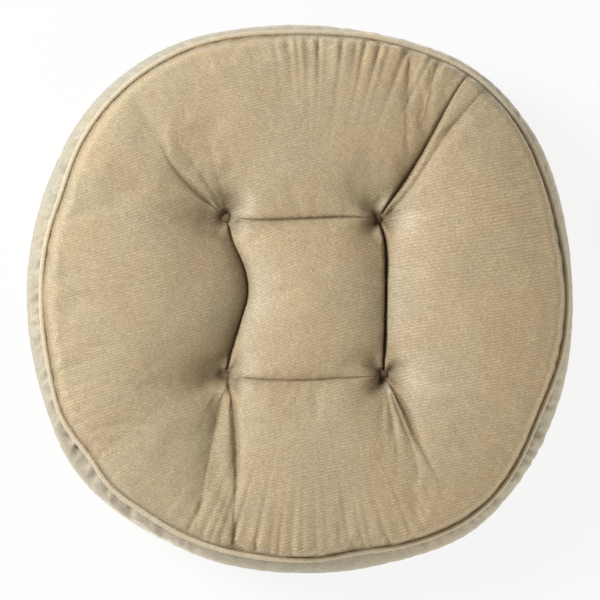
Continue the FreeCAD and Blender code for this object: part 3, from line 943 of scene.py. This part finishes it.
def boxing_surface(angle, share):
    """The boxing's outer face: share runs from 0 at the lower seam to 1 at the upper."""
    outwards = circle(angle)
    low = seam_line("bottom", angle) - BOXING_INSET * outwards
    high = seam_line("top", angle) - BOXING_INSET * outwards
    radius = soft_square(angle) + BULGE + bumps(angle, BOXING_DRIFT)
    full = radius[:, None] * outwards
    bow = (4 * share * (1 - share))[:, None] ** 0.9
    straight = low + (high - low) * share[:, None]
    middle = (low + high) / 2
    points = straight + (full - middle) * bow
    return np.column_stack([points, LOWER_SEAM + BOXING_HEIGHT * share])


def make_boxing(material):
    """The band between the seams, bowed out by the fill and gathered at both edges."""
    shares = np.linspace(0, 1, BOXING_ROWS + 1)
    angle, share = (grid.ravel() for grid in np.meshgrid(all_round(BOXING_COLUMNS), shares))
    faces = ring_faces(BOXING_ROWS, BOXING_COLUMNS)
    piece = new_mesh("boxing_band_fabric", boxing_surface(angle, share), faces)
    keep_flat(piece, circle(angle))
    keep_share(piece, "height", share)
    held = np.where((share < 0.01) | (share > 0.99), 1.0, 0.0)
    puff(piece, held, pressure=1.5, slack=0.004, cap=1.5)
    subdivide(piece)
    _, angle = polar(flat_of(piece))
    share = read(piece.data.attributes["height"].data, "value", 1)[:, 0]
    gather_boxing(piece, angle, share)
    lay_boxing_weave(piece, angle, share)
    show(piece, material)
    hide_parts("boxing_band")


def gather_boxing(piece, angle, share):
    """Raise the boxing's gathers and crumples, and paint shade between them and at its edges."""
    size = bumps(angle, BOXING_GATHERS)
    lift = np.zeros(len(angle))
    for edge_share, seed in ((1 - share, 21), (share, 22)):
        gap = edge_share * BOXING_HEIGHT
        slanted = angle + GATHER_SLANT * share
        crest = ripple(slanted, BOXING_GATHER_LENGTH, seed)
        swell = np.minimum(gap / BOXING_GATHER_START, 1)
        fade = np.exp(-np.maximum(gap - BOXING_GATHER_START, 0) / BOXING_GATHER_REACH)
        lift += size * crest * swell * fade
    edge = np.minimum(share, 1 - share) * BOXING_HEIGHT
    spots = circle(angle) * SEAM_HALF_WIDTH + CRUMPLE_SLANT * share[:, None]
    crumple = lumps(spots, *CRUMPLE_LENGTHS, seed=43)
    # The crumples keep off the edges and the fullest line.
    crumple = crumple * smooth_step(edge / CRUMPLE_EDGE) * smooth_step(2 - edge / CRUMPLE_MIDDLE)
    lift += bumps(angle, BOXING_CRUMPLES) * crumple
    move_to(piece, positions(piece) + normals(piece) * lift[:, None])
    # Painted shade at the edges under the piping and in the valleys between the gathers.
    dark = BOXING_EDGE_DARKNESS * np.exp(-edge / BOXING_EDGE_REACH)
    keep_share(piece, "painted_shade", dark + BOXING_DEPTH_DARKNESS * np.clip(-lift, 0, 2))


def lay_boxing_weave(piece, angle, share):
    """Ribs run round the boxing; each corner of a face keeps clear of the wrap-round."""
    corners = corners_of(piece)
    turn = angle[corners].reshape(-1, 4)
    turn = np.where(turn < turn.max(axis=1, keepdims=True) - math.pi, turn + 2 * math.pi, turn)
    along = share[corners] * BOXING_HEIGHT * BOXING_LOOSENESS
    lay_weave(piece, np.column_stack([turn.ravel() * SEAM_HALF_WIDTH, along]))


# --- piping ---

WELT_COLUMNS = 1800
WELT_SIDES = 16
# Where the piping's two ends overlap: degrees, half width, how much thicker.
WELT_JOIN = ((29.5, 1.0, 0.5),)
# Each stitch of the seam nips the piping's inner side.
STITCH_PITCH = 2.8
STITCH_NIP = 0.35
# The strip is cut on the bias, so its ribs wind round the cord.
BIAS = np.array([[0.7, 0.7], [-0.7, 0.7]])


def make_welt(side, kind, radius, material):
    """A closed tube along a seam: the piping's fabric, or the cord inside it."""
    around = all_round(WELT_COLUMNS)
    line = seam_line(side, around)
    way = np.roll(line, -1, axis=0) - np.roll(line, 1, axis=0)
    way /= np.linalg.norm(way, axis=1, keepdims=True)
    outwards = np.column_stack([way[:, 1], -way[:, 0], np.zeros(len(way))])
    seam = UPPER_SEAM if side == "top" else LOWER_SEAM
    centre = np.column_stack([line, np.full(len(line), seam)])
    girth = np.full(len(line), radius)
    if kind == "cover":
        girth = girth + bumps(around, WELT_JOIN)
        girth = girth + 0.05 * ripple(around, 14.0, seed=31)
        centre[:, 2] += 0.25 * ripple(around, 55.0, seed=32)
    stitches = round(2 * math.pi * SEAM_HALF_WIDTH / STITCH_PITCH)
    nip = np.zeros(len(line)) if kind == "cord" else (0.5 + 0.5 * np.cos(stitches * around)) ** 2
    points, painted_shade = [], []
    for number in range(WELT_SIDES):
        turn = 2 * math.pi * number / WELT_SIDES
        rise = np.array([0, 0, math.sin(turn)])
        inner = smooth_step(-math.cos(turn))
        reach = girth - STITCH_NIP * nip * inner
        points.append(centre + reach[:, None] * (outwards * math.cos(turn) + rise))
        # Painted shade on the inner side, where the piping meets the panel, and in each stitch's
        # nip.
        painted_shade.append(0.7 * smooth_step((-math.cos(turn) - 0.5) / 0.45) + 0.3 * nip * inner)
    count = WELT_SIDES * WELT_COLUMNS
    faces = [
        tuple(corner % count for corner in face) for face in ring_faces(WELT_SIDES, WELT_COLUMNS)
    ]
    piece = new_piece(f"{side}_piping_{kind}", np.vstack(points), faces, material)
    keep_share(piece, "painted_shade", np.concatenate(painted_shade))
    number, column = np.divmod(np.arange(count), WELT_COLUMNS)
    start, under = around[column] * SEAM_HALF_WIDTH, radius * math.tau * number / WELT_SIDES
    end, over = start + around[1] * SEAM_HALF_WIDTH, under + radius * math.tau / WELT_SIDES
    corners = np.stack([start, under, end, under, end, over, start, over], axis=1)
    lay_weave(piece, corners.reshape(-1, 2) @ BIAS)
    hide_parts(f"{side}_welt_{kind}")


# --- buttons ---

BUTTON_SIDES = 48
BUTTON_RINGS = 16
BUTTON_SWEEP = math.radians(125)  # from the top of the dome to the turned-in edge
BUTTON_PLEATS = 9
BUTTON_TUCK = 0.035  # how strongly a pleat draws the dome's side in
BUTTON_DARKNESS = 0.88  # of the painted shade, out to half the radius


def make_button(side, number, material):
    """A fabric-covered button: a low dome, puckered where the cloth turns under."""
    low, high = box_mm(f"{side}_button_{number}_cover")
    centre = (low + high) / 2
    radius, rise = (high[0] - low[0]) / 2, high[2] - low[2]
    way = 1 if side == "top" else -1
    foot = low[2] if way > 0 else high[2]
    points, threads = [(centre[0], centre[1], foot + way * rise)], [(0.0, 0.0)]
    for ring in range(1, BUTTON_RINGS + 1):
        sweep = BUTTON_SWEEP * ring / BUTTON_RINGS
        up = rise * 0.5 * (1 + math.copysign(abs(math.cos(sweep)) ** 0.9, math.cos(sweep)))
        for step in range(BUTTON_SIDES):
            turn = 2 * math.pi * step / BUTTON_SIDES
            pleat = 1 + math.cos(BUTTON_PLEATS * turn)
            tuck = BUTTON_TUCK * max(0, math.sin(sweep) - 0.6) * pleat
            out = radius * math.sin(sweep) ** 0.8 * (1 - tuck)
            points.append((
                centre[0] + out * math.cos(turn),
                centre[1] + out * math.sin(turn),
                foot + way * up,
            ))
            reach = radius * sweep
            threads.append((reach * math.cos(turn), reach * math.sin(turn)))
    faces = disc_faces(BUTTON_RINGS, BUTTON_SIDES)
    last = 1 + (BUTTON_RINGS - 1) * BUTTON_SIDES
    faces.append(tuple(last + step for step in range(BUTTON_SIDES))[::-1])
    if way < 0:
        faces = [face[::-1] for face in faces]
    piece = new_piece(f"{side}_button_{number}_cloth", points, faces, material)
    lay_weave(piece, np.array(threads)[corners_of(piece)])
    # The button sits deep in its tuft, so shade is painted over all of it, fullest at the rim.
    out = polar(np.array(points)[:, :2] - centre[:2])[0] / radius
    rim = smooth_step(out * 2 - 1)
    keep_share(piece, "painted_shade", BUTTON_DARKNESS + (1 - BUTTON_DARKNESS) * rim)
    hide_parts(f"{side}_button_{number}_cover")


# --- fill ---

FILL_COLUMNS = 120
FILL_RINGS = 30
# How far inside the seam's outline the fill stops, and how far under the fabric.
FILL_INSET = 6.0
FILL_DEPTH = 3.0
# The fabric's height is felt for at this many places round each spot, within this reach.
FEELERS = 12
FEELER_REACH = 9.0
ABOVE = 300.0


def height_under(piece, way, spots):
    """Height of a panel over each spot, taken at its lowest within a small reach."""
    tree = BVHTree.FromPolygons(
        positions(piece).tolist(), [tuple(face.vertices) for face in piece.data.polygons]
    )
    heights = []
    for x, y in spots.tolist():
        found = []
        for turn in range(FEELERS):
            reach = FEELER_REACH * (0.5 + turn % 2 * 0.5)
            angle = turn * math.tau / FEELERS
            aside = Vector((math.cos(angle), math.sin(angle), 0))
            spot = Vector((x, y, way * ABOVE)) + reach * aside
            hit, *_ = tree.ray_cast(spot, (0, 0, -way))
            if hit:
                found.append(way * hit.z)
        heights.append(way * (min(found) - FILL_DEPTH))
    return np.array(heights)


def make_fill(top, bottom, material):
    """The fibre stuffing, a closed body that follows the fabric a little way inside it."""
    around = all_round(FILL_COLUMNS)
    rim = soft_square(around) + np.minimum(0, bumps(around, WELT_DRIFT)) - FILL_INSET
    spots = [np.zeros((1, 2))]
    for share in (np.arange(1, FILL_RINGS + 1) / FILL_RINGS) ** 0.8:
        spots.append(share * rim[:, None] * circle(around))
    spots = np.vstack(spots)
    upper = np.column_stack([spots, height_under(top, 1, spots)])
    lower = np.column_stack([spots, height_under(bottom, -1, spots)])
    sheet = disc_faces(FILL_RINGS, FILL_COLUMNS)
    count = len(spots)
    edge = count - FILL_COLUMNS
    faces = sheet + [tuple(count + corner for corner in face)[::-1] for face in sheet]
    for step in range(FILL_COLUMNS):
        after = (step + 1) % FILL_COLUMNS
        faces.append((edge + step, count + edge + step, count + edge + after, edge + after))
    piece = new_piece("fibre_fill_body", np.vstack([upper, lower]), faces, material)
    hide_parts("fibre_fill")


# --- materials ---
# Noise scales are in waves per metre, and bump distances in metres.


class Nodes:
    """Short way to write a material's node tree."""

    def __init__(self, name):
        self.material = bpy.data.materials.new(name)
        self.material.use_nodes = True
        self.tree = self.material.node_tree
        self.shader = self.tree.nodes["Principled BSDF"]

    def add(self, kind, inputs=None, **settings):
        """A node with its settings and its inputs, each a value or another node's output."""
        node = self.tree.nodes.new(kind)
        for name, setting in settings.items():
            setattr(node, name, setting)
        for name, source in (inputs or {}).items():
            self.link(node.inputs[name], source)
        return node

    def link(self, socket, source):
        if isinstance(source, bpy.types.NodeSocket):
            self.tree.links.new(source, socket)
        else:
            socket.default_value = source

    def give(self, **sources):
        """Set the shader's own inputs, their names written with underscores."""
        for name, source in sources.items():
            self.link(self.shader.inputs[name.replace("_", " ")], source)

    def bump(self, height, strength, distance):
        """Raise and lower the surface by `height`."""
        node = self.add("ShaderNodeBump", {
            "Height": height, "Strength": strength, "Distance": distance,
        })
        self.give(Normal=node.outputs["Normal"])

    def place(self):
        """Where a point lies in the object's own space, in metres."""
        return self.add("ShaderNodeTexCoord").outputs["Object"]

    def attribute(self, name):
        """A share kept on the mesh's points; it is 0 where the mesh has none."""
        return self.add("ShaderNodeAttribute", attribute_name=name).outputs["Fac"]

    def math(self, operation, first, second):
        node = self.add("ShaderNodeMath", operation=operation)
        self.link(node.inputs[0], first)
        self.link(node.inputs[1], second)
        return node.outputs[0]

    def scaled(self, source, factor, offset=0.0):
        """source times factor, plus offset."""
        scaled = self.math("MULTIPLY", source, factor)
        return self.math("ADD", scaled, offset) if offset else scaled

    def mix(self, share, first, second, blend="MIX"):
        node = self.add("ShaderNodeMix", data_type="RGBA", blend_type=blend)
        self.link(node.inputs[0], share)
        self.link(node.inputs[6], first)
        self.link(node.inputs[7], second)
        return node.outputs[2]

    def tinted(self, share, colour, tint):
        """colour, multiplied by the tint as far as share says."""
        return self.mix(share, colour, self.mix(1.0, colour, (*tint, 1), blend="MULTIPLY"))

    def ramp(self, source, low, high):
        """0 to 1 with level ends, as source goes from low to high."""
        node = self.add(
            "ShaderNodeMapRange", {"Value": source, "From Min": low, "From Max": high},
            interpolation_type="SMOOTHSTEP",
        )
        return node.outputs["Result"]

    def noise(self, vector, scale, detail=3.0, roughness=0.55):
        node = self.add("ShaderNodeTexNoise", {
            "Vector": vector, "Scale": scale, "Detail": detail, "Roughness": roughness,
        })
        return node.outputs["Fac"]

    def bands(self, vector, pitch, direction, distortion, **inputs):
        """Bands from 0 to 1, `pitch` millimetres from one to the next."""
        named = {name.replace("_", " "): value for name, value in inputs.items()}
        node = self.add(
            "ShaderNodeTexWave",
            {"Vector": vector, "Scale": WAVE_PITCH / (pitch * MM), "Distortion": distortion,
             "Detail": 2.0, **named},
            wave_type="BANDS", bands_direction=direction, wave_profile="SIN",
        )
        return node.outputs["Fac"]


WAVE_PITCH = 2 * math.pi / 20  # a wave texture's pitch at scale 1
# The pile's colour shifts in clouds between a warmer and a cooler tint, with paler blotches.
WARM_TINT = (1.04, 0.99, 0.95)
COOL_TINT = (0.985, 1.005, 1.01)
BLOTCH_GAIN = 1.3
BLOTCH_SHARE = 0.25
PAINTED_HIGHLIGHT_TINT = (1.3, 1.45, 1.75)  # how much paler the painted highlight makes the colour
PAINTED_HIGHLIGHT_SHARE = 0.6
PAINTED_SHADE_TINT = (0.17, 0.12, 0.07)  # what the painted shade leaves of the fabric's colour deep in a fold
PAINTED_SHADE_SHARE = 0.95
# How far a rib strays from its line, in metres: slowly, and from thread to thread.
RIB_STRAY = 1.5 * MM
RIB_JITTER = 0.6 * MM
# Breaks in the ribs are about this fine along and across them, in waves per metre.
BREAK_SCALE = (480.0, 900.0, 1.0)
SHEEN_WEIGHT = 0.85
SHEEN_LOST = 0.85  # share of the sheen cut back with the painted shade deep in a fold


def velvet(name, base, rib_pitch=2.2, rib_depth=0.14, rib_tone=0.36):
    """Ribbed velvet: fine broken ribs, crushed pile in patches, and a pale sheen.

    rib_pitch and rib_depth are in millimetres, and rib_tone is how much the ribs differ in
    brightness.
    """
    made = Nodes(name)
    place = made.place()
    threads = made.add("ShaderNodeSeparateXYZ", {
        "Vector": made.add("ShaderNodeUVMap", uv_map="weave").outputs["UV"],
    })
    stray = made.scaled(made.noise(place, 110.0, detail=1.0), RIB_STRAY)
    jitter = made.scaled(made.noise(place, 420.0, detail=1.0), RIB_JITTER)
    weave = made.add("ShaderNodeCombineXYZ", {
        "X": threads.outputs["X"],
        "Y": made.math("ADD", threads.outputs["Y"], made.math("ADD", stray, jitter)),
    }).outputs["Vector"]
    ribs = made.bands(weave, rib_pitch, "Y", 1.2, Detail_Scale=2.0, Detail_Roughness=0.6)
    stretched = made.add("ShaderNodeMapping", {"Vector": weave, "Scale": BREAK_SCALE})
    breaks = made.noise(stretched.outputs["Vector"], 1.0, detail=2.0, roughness=0.8)
    thread = made.math("MULTIPLY", made.math("ADD", ribs, 0.35), made.ramp(breaks, 0.32, 0.66))
    fuzz = made.noise(place, 2400.0, detail=2.0)
    mottle = made.noise(place, 260.0, detail=3.0, roughness=0.6)
    cloud = made.noise(place, 16.0, detail=4.0, roughness=0.6)
    blotch = made.noise(place, 42.0, detail=3.0, roughness=0.6)

    warm, cool = (np.multiply(base, tint) for tint in (WARM_TINT, COOL_TINT))
    paler = np.minimum(1, np.multiply(base, BLOTCH_GAIN))
    colour = made.mix(made.ramp(cloud, 0.35, 0.65), (*warm, 1), (*cool, 1))
    blotches = made.scaled(made.ramp(blotch, 0.48, 0.78), BLOTCH_SHARE)
    colour = made.mix(blotches, colour, (*paler, 1))
    shade = made.scaled(thread, rib_tone, 1 - 0.5 * rib_tone)
    grain = made.math("MULTIPLY", made.scaled(fuzz, 0.7, 0.65), made.scaled(mottle, 0.36, 0.82))
    tone = made.math("MULTIPLY", shade, grain)
    grey = made.add("ShaderNodeCombineColor", {"Red": tone, "Green": tone, "Blue": tone})
    colour = made.mix(1.0, colour, grey.outputs["Color"], blend="MULTIPLY")
    # Painted highlight where the mesh's share says a slope faces the light, and painted shade in
    # its folds, round its tufts and under the piping.
    painted_shade = made.attribute("painted_shade")
    painted_highlight = made.scaled(made.attribute("painted_highlight"), PAINTED_HIGHLIGHT_SHARE)
    colour = made.tinted(painted_highlight, colour, PAINTED_HIGHLIGHT_TINT)
    colour = made.tinted(made.scaled(painted_shade, PAINTED_SHADE_SHARE), colour, PAINTED_SHADE_TINT)

    # The sheen is cut back where shade is painted.
    left = made.math("SUBTRACT", 1.0, made.scaled(painted_shade, SHEEN_LOST))
    made.give(
        Base_Color=colour, Roughness=made.scaled(cloud, 0.12, 0.78), Specular_IOR_Level=0.25,
        Sheen_Weight=made.scaled(left, SHEEN_WEIGHT), Sheen_Roughness=0.35,
        Sheen_Tint=(1.0, 0.95, 0.84, 1.0),
    )
    made.bump(made.math("ADD", thread, made.scaled(fuzz, 0.5)), 0.55, rib_depth * MM)
    return made.material


def fibre(name):
    """Loose white polyester fibre."""
    made = Nodes(name)
    place = made.place()
    clumps = made.ramp(made.noise(place, 60.0, detail=4.0), 0.3, 0.7)
    colour = made.mix(clumps, (0.86, 0.85, 0.82, 1), (0.74, 0.73, 0.69, 1))
    made.give(Base_Color=colour, Roughness=0.95)
    made.bump(made.noise(place, 900.0, detail=6.0, roughness=0.8), 0.8, 1 * MM)
    return made.material


def twisted(name, base, pitch):
    """Twisted yarn: fine slanting strands."""
    made = Nodes(name)
    strands = made.bands(made.place(), pitch, "DIAGONAL", 1.5)
    dark = np.multiply(base, 0.62)
    made.give(Base_Color=made.mix(strands, (*dark, 1), (*base, 1)), Roughness=0.9)
    made.bump(strands, 0.7, 0.3 * MM)
    return made.material


def pressed_metal(name):
    """Thin pressed aluminium, lightly scuffed."""
    made = Nodes(name)
    scuffs = made.noise(made.place(), 1500.0, detail=5.0, roughness=0.7)
    colour = made.mix(scuffs, (0.62, 0.62, 0.64, 1), (0.82, 0.82, 0.84, 1))
    made.give(Base_Color=colour, Metallic=1.0, Roughness=made.scaled(scuffs, 0.25, 0.28))
    return made.material


# --- light, floor and camera ---

VIEW_DISTANCE = 1700.0
VIEW_TILT = math.radians(5.5)
VIEW_SIDE = math.radians(30)
VIEW_WIDTH = 447.6  # millimetres across the picture, at the height it is aimed at
AIM = np.array([-1.1, -1.4, 43.0])


def add_camera():
    """A long lens almost straight above the pad, leaning to its front left."""
    back = Vector((
        -math.sin(VIEW_TILT) * math.cos(VIEW_SIDE),
        -math.sin(VIEW_TILT) * math.sin(VIEW_SIDE),
        math.cos(VIEW_TILT),
    ))
    right = Vector((0, 1, 0)).cross(back).normalized()
    up = back.cross(right)
    data = bpy.data.cameras.new("camera")
    data.sensor_width = 36
    data.lens = data.sensor_width * VIEW_DISTANCE / VIEW_WIDTH
    camera = bpy.data.objects.new("camera", data)
    turn = Matrix((right, up, back)).transposed().to_4x4()
    place = Vector(AIM * MM) + back * VIEW_DISTANCE * MM
    camera.matrix_world = Matrix.Translation(place) @ turn
    bpy.context.scene.collection.objects.link(camera)
    bpy.context.scene.camera = camera


# Soft boxes: name, place and size in metres, power in watts, colour.
LIGHTS = (
    ("key", (-1.45, 0.62, 1.25), 0.8, 47.0, (0.98, 0.985, 1.0)),
    ("fill", (1.2, -1.0, 1.8), 1.8, 2.5, (1.0, 0.92, 0.80)),
    ("edge", (1.55, -1.35, 0.5), 1.0, 19.0, (1.0, 0.96, 0.88)),
)


def add_light(name, place, size, power, colour):
    """A square soft box aimed at the pad."""
    data = bpy.data.lights.new(name, "AREA")
    data.size, data.energy, data.color = size, power, colour
    light = bpy.data.objects.new(name, data)
    light.location = place
    aim = Vector((0, 0, CROWN * MM)) - Vector(place)
    light.rotation_euler = aim.to_track_quat("-Z", "Y").to_euler()
    bpy.context.scene.collection.objects.link(light)


# The floor, in metres: a disc whose rim sweeps up, and its gap under the pad.
FLOOR_SIDES = 96
FLOOR_REACH = 3.5
SWEEP_RADIUS = 2.0
SWEEP_DEGREES = range(0, 71, 10)
FLOOR_GAP = 0.0002


def sweep_mesh():
    """A round floor whose rim sweeps up all round, in metres."""
    points = []
    for turn in np.radians(SWEEP_DEGREES):
        reach = FLOOR_REACH + SWEEP_RADIUS * math.sin(turn)
        height = np.full(FLOOR_SIDES, SWEEP_RADIUS * (1 - math.cos(turn)))
        points.append(np.column_stack([reach * circle(all_round(FLOOR_SIDES)), height]))
    faces = [tuple(range(FLOOR_SIDES))] + ring_faces(len(points) - 1, FLOOR_SIDES)
    mesh = bpy.data.meshes.new("floor")
    mesh.from_pydata(np.vstack(points).tolist(), [], faces)
    return mesh


def add_studio():
    """Pale floor, dim warm surroundings, and soft light from the back left."""
    floor = bpy.data.objects.new("floor", sweep_mesh())
    floor.location.z = min(cad_box[0][2], 0.0) - FLOOR_GAP
    bpy.context.scene.collection.objects.link(floor)
    paper = Nodes("studio_paper")
    paper.give(
        Base_Color=(0.1, 0.1, 0.1, 1), Roughness=0.9,
        Emission_Color=(1, 1, 1, 1), Emission_Strength=0.86,
    )
    floor.data.materials.append(paper.material)
    world = bpy.data.worlds.new("studio")
    world.use_nodes = True
    surroundings = world.node_tree.nodes["Background"].inputs
    surroundings["Color"].default_value = (1.0, 0.94, 0.84, 1)
    surroundings["Strength"].default_value = 0.18
    bpy.context.scene.world = world
    for light in LIGHTS:
        add_light(*light)
    bpy.context.scene.view_settings.view_transform = "Standard"


# --- the pad ---

TAN = (0.482, 0.388, 0.246)
# Painted light: the boxing and piping get paler copies of the tan, for the sheen they show at a
# slant and the light from the floor beside them.
BOXING_TAN_PAINTED_LIGHT = (0.46, 0.415, 0.315)
PIPING_TAN_PAINTED_LIGHT = (0.60, 0.52, 0.375)
FINE_RIBS = {"rib_pitch": 1.3, "rib_depth": 0.06, "rib_tone": 0.16}
# Distance between a panel's points, in millimetres, before it is subdivided.
TOP_SPACING = 2.8
BOTTOM_SPACING = 3.2


def finish_cad_nodes(metal, twine):
    """Give the small CAD parts inside the pad their materials."""
    for name, node in frame["nodes"].items():
        material = None
        if name.endswith(("_shell", "_back")):
            material = metal
        elif name.startswith("tufting_twine"):
            material = twine
        if material:
            node.data.materials.clear()
            node.data.materials.append(material)


def build():
    """Make every piece of the pad and hand it to the frame."""
    cover = velvet("ribbed_velvet", TAN)
    small = velvet("ribbed_velvet_small", TAN, **FINE_RIBS)
    edging = velvet("ribbed_velvet_piping", PIPING_TAN_PAINTED_LIGHT, **FINE_RIBS)
    metal = pressed_metal("pressed_metal")
    twine = twisted("waxed_twine", (0.62, 0.56, 0.45), 0.5)
    cotton = twisted("cotton_cord", (0.78, 0.74, 0.66), 1.2)
    top = make_panel("top", TOP_SPACING, top_folds(), cover)
    bottom = make_panel("bottom", BOTTOM_SPACING, bottom_folds(), cover)
    make_boxing(velvet("ribbed_velvet_boxing", BOXING_TAN_PAINTED_LIGHT))
    for side in ("top", "bottom"):
        make_welt(side, "cover", WELT_RADIUS, edging)
        make_welt(side, "cord", CORD_RADIUS, cotton)
        for number in (1, 2, 3, 4):
            make_button(side, number, small)
    make_fill(top, bottom, fibre("polyester_fibre"))
    finish_cad_nodes(metal, twine)


add_camera()
add_studio()
build()

bpy.data.scenes.remove(workbench)
